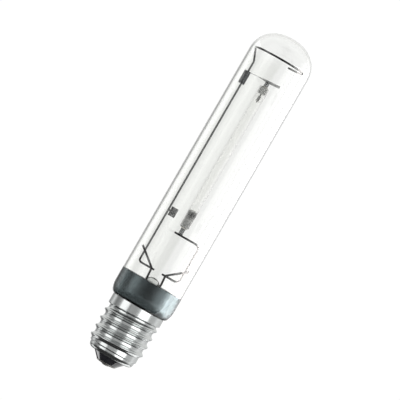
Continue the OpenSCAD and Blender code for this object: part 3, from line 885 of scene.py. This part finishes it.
def end_parts(name, up, body, plug_l, gap, feed_out):
    """Plug, seal, feed tube, electrode and coil of an end; up is +1 at the lower end, -1 at the upper."""
    base = ARC_LOW if up > 0 else ARC_HIGH
    feed_bore, hole_r, floor_t = FEED_R - 0.25, FEED_R + 0.02, 0.8
    rod_r, tip_l, tip_cone = 0.5, 11.4, 0.3
    coil_start, coil_l, coil_r, coil_wire_r, turns, per_turn = 6.77, 3.58, 0.83, 0.165, 13, 20

    def turned(points, ease, segments=64):
        return lathe([(r, base + up * z) for r, z in eased(points, ease)], segments)

    add(name + "_plug_ceramic", turned([
        (hole_r, 0), (BORE_R - gap, 0), (BORE_R - gap, plug_l), (hole_r, plug_l)], 0.12),
        PLUG, [name + "_plug"], body)
    add(name + "_frit_ring", turned([
        (hole_r, -0.7), (FEED_R + 0.35, -0.6), (BORE_R - 0.3, -0.15), (BORE_R - 0.1, 0), (hole_r, 0)], 0.1),
        FRIT, [name + "_frit"], body)
    add(name + "_feed_tube_metal", turned([
        (feed_bore, -feed_out), (FEED_R, -feed_out), (FEED_R, plug_l), (0, plug_l),
        (0, plug_l - floor_t), (feed_bore, plug_l - floor_t)], 0.1),
        NIOBIUM, [name + "_feed_tube"], body)
    add(name + "_electrode_rod", turned([
        (0, plug_l), (rod_r, plug_l), (rod_r, tip_l - tip_cone), (rod_r / 2, tip_l), (0, tip_l)], 0.1, 32),
        TUNGSTEN, [name + "_electrode"], body)
    count = turns * per_turn
    helix = [(coil_r * c, coil_r * s, base + up * (coil_start + coil_l * i / count))
             for i, (c, s) in enumerate(circle(per_turn) * turns + circle(per_turn)[:1])]
    add(name + "_coil_wire", sweep(helix, coil_wire_r, 8),
        TUNGSTEN, [name + "_coil"], body, angle=70)


end_parts("lower", 1, "lamp", 5.2, 0.03, 5.7 - WIRE_R + 0.1)
end_parts("upper", -1, "free_end", 4.3, 0.05, 5.1)


# ---------- CAD nodes that show as they are ----------

for node, material in (("cap_cement", CEMENT), ("contact_wire", COPPER), ("shell_wire", COPPER),
                       ("exhaust_tube", STEM)):
    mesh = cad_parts[node].data
    mesh.materials.clear()
    mesh.materials.append(material)


# ---------- camera ----------

def camera():
    """A long lens in front of the lamp, rolled so that the lamp's dome leans to the right in the picture."""
    middle = Vector((0, 0, DOME_TOP / 2)) * MM
    place = Vector((0, -2.09, 0.092))
    roll = math.radians(30)
    aside, above = 0.75, 1.37
    forward = (middle - place).normalized()
    level = forward.cross(Vector((0, 0, 1))).normalized()
    upright = level.cross(forward)
    right = level * math.cos(roll) + upright * math.sin(roll)
    up = upright * math.cos(roll) - level * math.sin(roll)
    aim = (middle + (right * aside + up * above) * MM - place).normalized()
    right = (right - aim * right.dot(aim)).normalized()
    up = right.cross(aim)
    data = bpy.data.cameras.new("camera")
    data.lens, data.sensor_width = 275.6, 36
    data.clip_start, data.clip_end = 0.05, 60
    made = bpy.data.objects.new("camera", data)
    made.matrix_world = Matrix.Translation(place) @ Matrix((right, up, -aim)).transposed().to_4x4()
    bpy.context.scene.collection.objects.link(made)
    bpy.context.scene.camera = made


camera()


# ---------- studio ----------

FLOOR_Z, FLOOR_R = -0.6, 3
# Lights that reach this far down also show in the steep reflections
DEEP = -5
# How many glass faces a path has crossed: two in front of the film, three or more in front of what is inside
AT_FILM, AT_INSIDE = (0, 2), (3, 40)
# From this azimuth on, the strips are a little warmer
WARM_FROM, WARM = 74, (1.04, 0.99, 0.98)


def group(name, pieces):
    """Pieces that a light may be limited to."""
    made = bpy.data.collections.new(name)
    for piece in pieces:
        made.objects.link(piece)
    return made


def area_light(name, width, height, radiance, place, turn, only):
    """A soft light of an even radiance that lights and mirrors only some pieces."""
    light = bpy.data.lights.new(name, "AREA")
    light.shape = "RECTANGLE"
    light.size, light.size_y = width, height
    light.energy = radiance * math.pi * width * height
    made = bpy.data.objects.new(name, light)
    made.location, made.rotation_euler = place, turn
    made.visible_camera = made.visible_transmission = False
    bpy.context.scene.collection.objects.link(made)
    made.light_linking.receiver_collection = only
    return made


def behind_glass(light, crossed, mirrored=False):
    """Shows a light only through the glass, past a number of glass faces that lies between two limits.

    A mirrored light shows only as a reflection, not straight through the glass."""
    light.visible_glossy, light.visible_transmission = False, True
    light.data.use_nodes = True
    glow = Nodes(light.data.node_tree)
    emission = next(n for n in glow.tree.nodes if n.type == "EMISSION")
    path = glow.node("ShaderNodeLightPath").outputs
    fewest, most = crossed
    level = glow.math("COMPARE", path["Transmission Depth"], (fewest + most) / 2, (most - fewest) / 2 + 0.5)
    if mirrored:
        level = glow.math("MINIMUM", level, path["Glossy Depth"])
    glow.link(level, emission.inputs["Strength"])


def softbox(name, start, end, radiance, only, bottom=FLOOR_Z, top=0.85, distance=1.6):
    """A tall light between two azimuths, measured from the camera's side towards +X."""
    azimuth, half = math.radians((start + end) / 2), math.radians(end - start) / 2
    place = (distance * math.sin(azimuth), -distance * math.cos(azimuth), (top + bottom) / 2)
    turn = (math.radians(90), 0, azimuth)
    return area_light(name, 2 * distance * math.tan(half), top - bottom, radiance, place, turn, only)


def low_box(name, azimuth, elevation, radiance, width, only, distance=1.2):
    """A square light that shines up at the cap from below the lamp."""
    a, e = math.radians(azimuth), math.radians(elevation)
    place = Vector((math.sin(a) * math.cos(e), -math.cos(a) * math.cos(e), math.sin(e))) * distance
    return area_light(name, width, width, radiance, place, place.to_track_quat("Z", "Y").to_euler(), only)


def strips(name, levels, step, only):
    """Narrow lights side by side, whose radiance runs smoothly through the (azimuth, radiance) levels."""
    start = levels[0][0]
    for i in range(int((levels[-1][0] - start) / step)):
        azimuth = start + step * (i + 0.5)
        for (a, low_level), (b, high_level) in zip(levels, levels[1:]):
            if a <= azimuth <= b:
                level = mix(low_level, high_level, (azimuth - a) / (b - a))
        if level > 0.02:
            made = softbox(f"{name}_{i}", azimuth - step / 2, azimuth + step / 2, level, only, bottom=DEEP)
            behind_glass(made, AT_FILM)
            if azimuth > WARM_FROM:
                made.data.color = WARM


pieces = {o.name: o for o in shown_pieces()}
envelope_only = group("envelope_receivers", [pieces["bulb_envelope"]])
film_too = group("film_receivers", [pieces["bulb_getter_mirror"], pieces["bulb_envelope"]])
cap_only = group("cap_receivers", [o for n, o in pieces.items() if n.startswith("cap_")])
insulator_only = group("insulator_receivers", [pieces["cap_insulator"], pieces["cap_contact"]])
inside_too = group("inside_receivers", [o for n, o in pieces.items()
                                        if not n.startswith("cap_") and n != "bulb_getter_mirror"])
softbox("cap_left", -68, -34, 1.25, cap_only)
softbox("cap_right", 18, 61, 2.1, cap_only)
softbox("cap_front", -25, 16, 0.28, cap_only)
low_box("cap_low_right", 140, -38, 1.3, 0.8, cap_only)
low_box("cap_low_left", -135, -35, 1.2, 0.5, cap_only)
low_box("insulator_right", 140, -38, 2.6, 0.9, insulator_only)
low_box("insulator_left", -132, -38, 2.0, 0.5, insulator_only)
for name, start, end, radiance in (("inside_left", -68, -34, 1.1), ("inside_right", 24, 56, 1.3)):
    behind_glass(softbox(name, start, end, radiance, inside_too), AT_INSIDE, mirrored=True)
for name, start, end, radiance in (("glass_right", 80, 125, 1.3), ("glass_back_right", 125, 138, 1.2),
                                   ("glass_edge_right", 138, 149, 0.7)):
    softbox(name, start, end, radiance, envelope_only, bottom=DEEP, top=1.4)
strips("film", [
    (-140, 0), (-128, 1.9), (-118, 2.8), (-109, 3.0), (-97, 1.0), (-88, 0.15), (-80, 0.15), (-72, 0.9),
    (-63, 3.1), (-58, 3.3), (-46, 2.6), (-38, 0.9), (-24, 0.85), (-15, 0.5), (-8, 0.2), (16, 0.12),
    (26, 0.35), (34, 1.0), (42, 1.9), (50, 2.7), (58, 3.2), (66, 3.0), (74, 3.8), (80, 16), (100, 19),
    (116, 20), (135, 14), (149, 0)], 5, film_too)


def surroundings():
    """White behind the lamp and through the glass; mirrored, the studio has grey walls, ceiling and floor."""
    world = bpy.data.worlds.new("studio")
    bpy.context.scene.world = world
    world.use_nodes = True
    sky = Nodes(world.node_tree)
    sky.tree.nodes.clear()
    # Greys of the walls by azimuth, from the camera's side towards +X
    greys = [
        (-180, 1.05), (-166, 1.0), (-156, 0.45), (-142, 0.33), (-132, 0.6), (-118, 1.0), (-106, 0.4),
        (-98, 0.2), (-88, 0.3), (-72, 0.4), (-35, 0.3), (-10, 0.16), (0, 0.16), (15, 0.25), (60, 0.5),
        (90, 0.6), (102, 0.78), (109, 1.1), (122, 0.88), (140, 0.75), (152, 0.68), (166, 0.8), (180, 1.05)]
    # The ramp holds shares of the brightest one, and the strength of the walls makes up for it
    brightest = max(grey for _, grey in greys)
    ceiling_colour, backdrop_level = (0.8, 0.8, 0.79), 1.03

    coords = sky.node("ShaderNodeTexCoord")
    split = sky.node("ShaderNodeSeparateXYZ")
    sky.link(coords.outputs["Generated"], split.inputs[0])
    x, y, z = split.outputs
    azimuth = sky.math("ARCTAN2", x, sky.math("MULTIPLY", y, -1))
    turn = sky.math("MULTIPLY_ADD", azimuth, 1 / math.tau, 0.5)
    shares = [(degrees / 360 + 0.5, (grey / brightest,) * 3) for degrees, grey in greys]
    round_about = sky.tones(turn, *shares)
    # Above and behind the lamp the ceiling is an even light grey: it draws a faint outline of the dome
    overhead = sky.math("MULTIPLY", sky.remap(y, 0.0, 0.5, 0, 1), sky.remap(z, 0.05, 0.35, 0, 1))
    # Towards the floor the walls darken
    fade = sky.remap(z, -0.45, -0.12, 0.04, brightest)
    walls, backdrop = sky.node("ShaderNodeBackground"), sky.node("ShaderNodeBackground")
    sky.feed(walls.inputs["Color"], sky.blend(overhead, round_about, ceiling_colour))
    sky.feed(walls.inputs["Strength"], fade)
    sky.feed(backdrop.inputs["Color"], (1, 1, 1))
    sky.feed(backdrop.inputs["Strength"], backdrop_level)
    path = sky.node("ShaderNodeLightPath").outputs
    bounces = sky.math("ADD", path["Glossy Depth"], path["Diffuse Depth"])
    sky.mix_shaders(sky.math("LESS_THAN", bounces, 0.5), walls, backdrop, sky.node("ShaderNodeOutputWorld"))


surroundings()


def floor(segments=96):
    """A pale round floor well below the lamp, which no mirror shows."""
    verts = [(0, 0, FLOOR_Z)] + [(FLOOR_R * c, FLOOR_R * s, FLOOR_Z) for c, s in circle(segments)]
    mesh = bpy.data.meshes.new("floor")
    mesh.from_pydata(verts, [], [[0, j + 1, (j + 1) % segments + 1] for j in range(segments)])
    made = bpy.data.objects.new("floor", mesh)
    bpy.context.scene.collection.objects.link(made)
    paint = Paint("pale_floor", Roughness=0.9, Emission_Color=(1, 1, 1, 1), Emission_Strength=0.42)
    paint.colour(paint.tones(paint.noise(120), (0.3, (0.86, 0.86, 0.855)), (0.7, (0.90, 0.90, 0.895))))
    mesh.materials.append(paint.material)
    made.visible_glossy = made.visible_shadow = False
    made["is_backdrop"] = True


floor()

bpy.context.scene.view_settings.view_transform = "Standard"
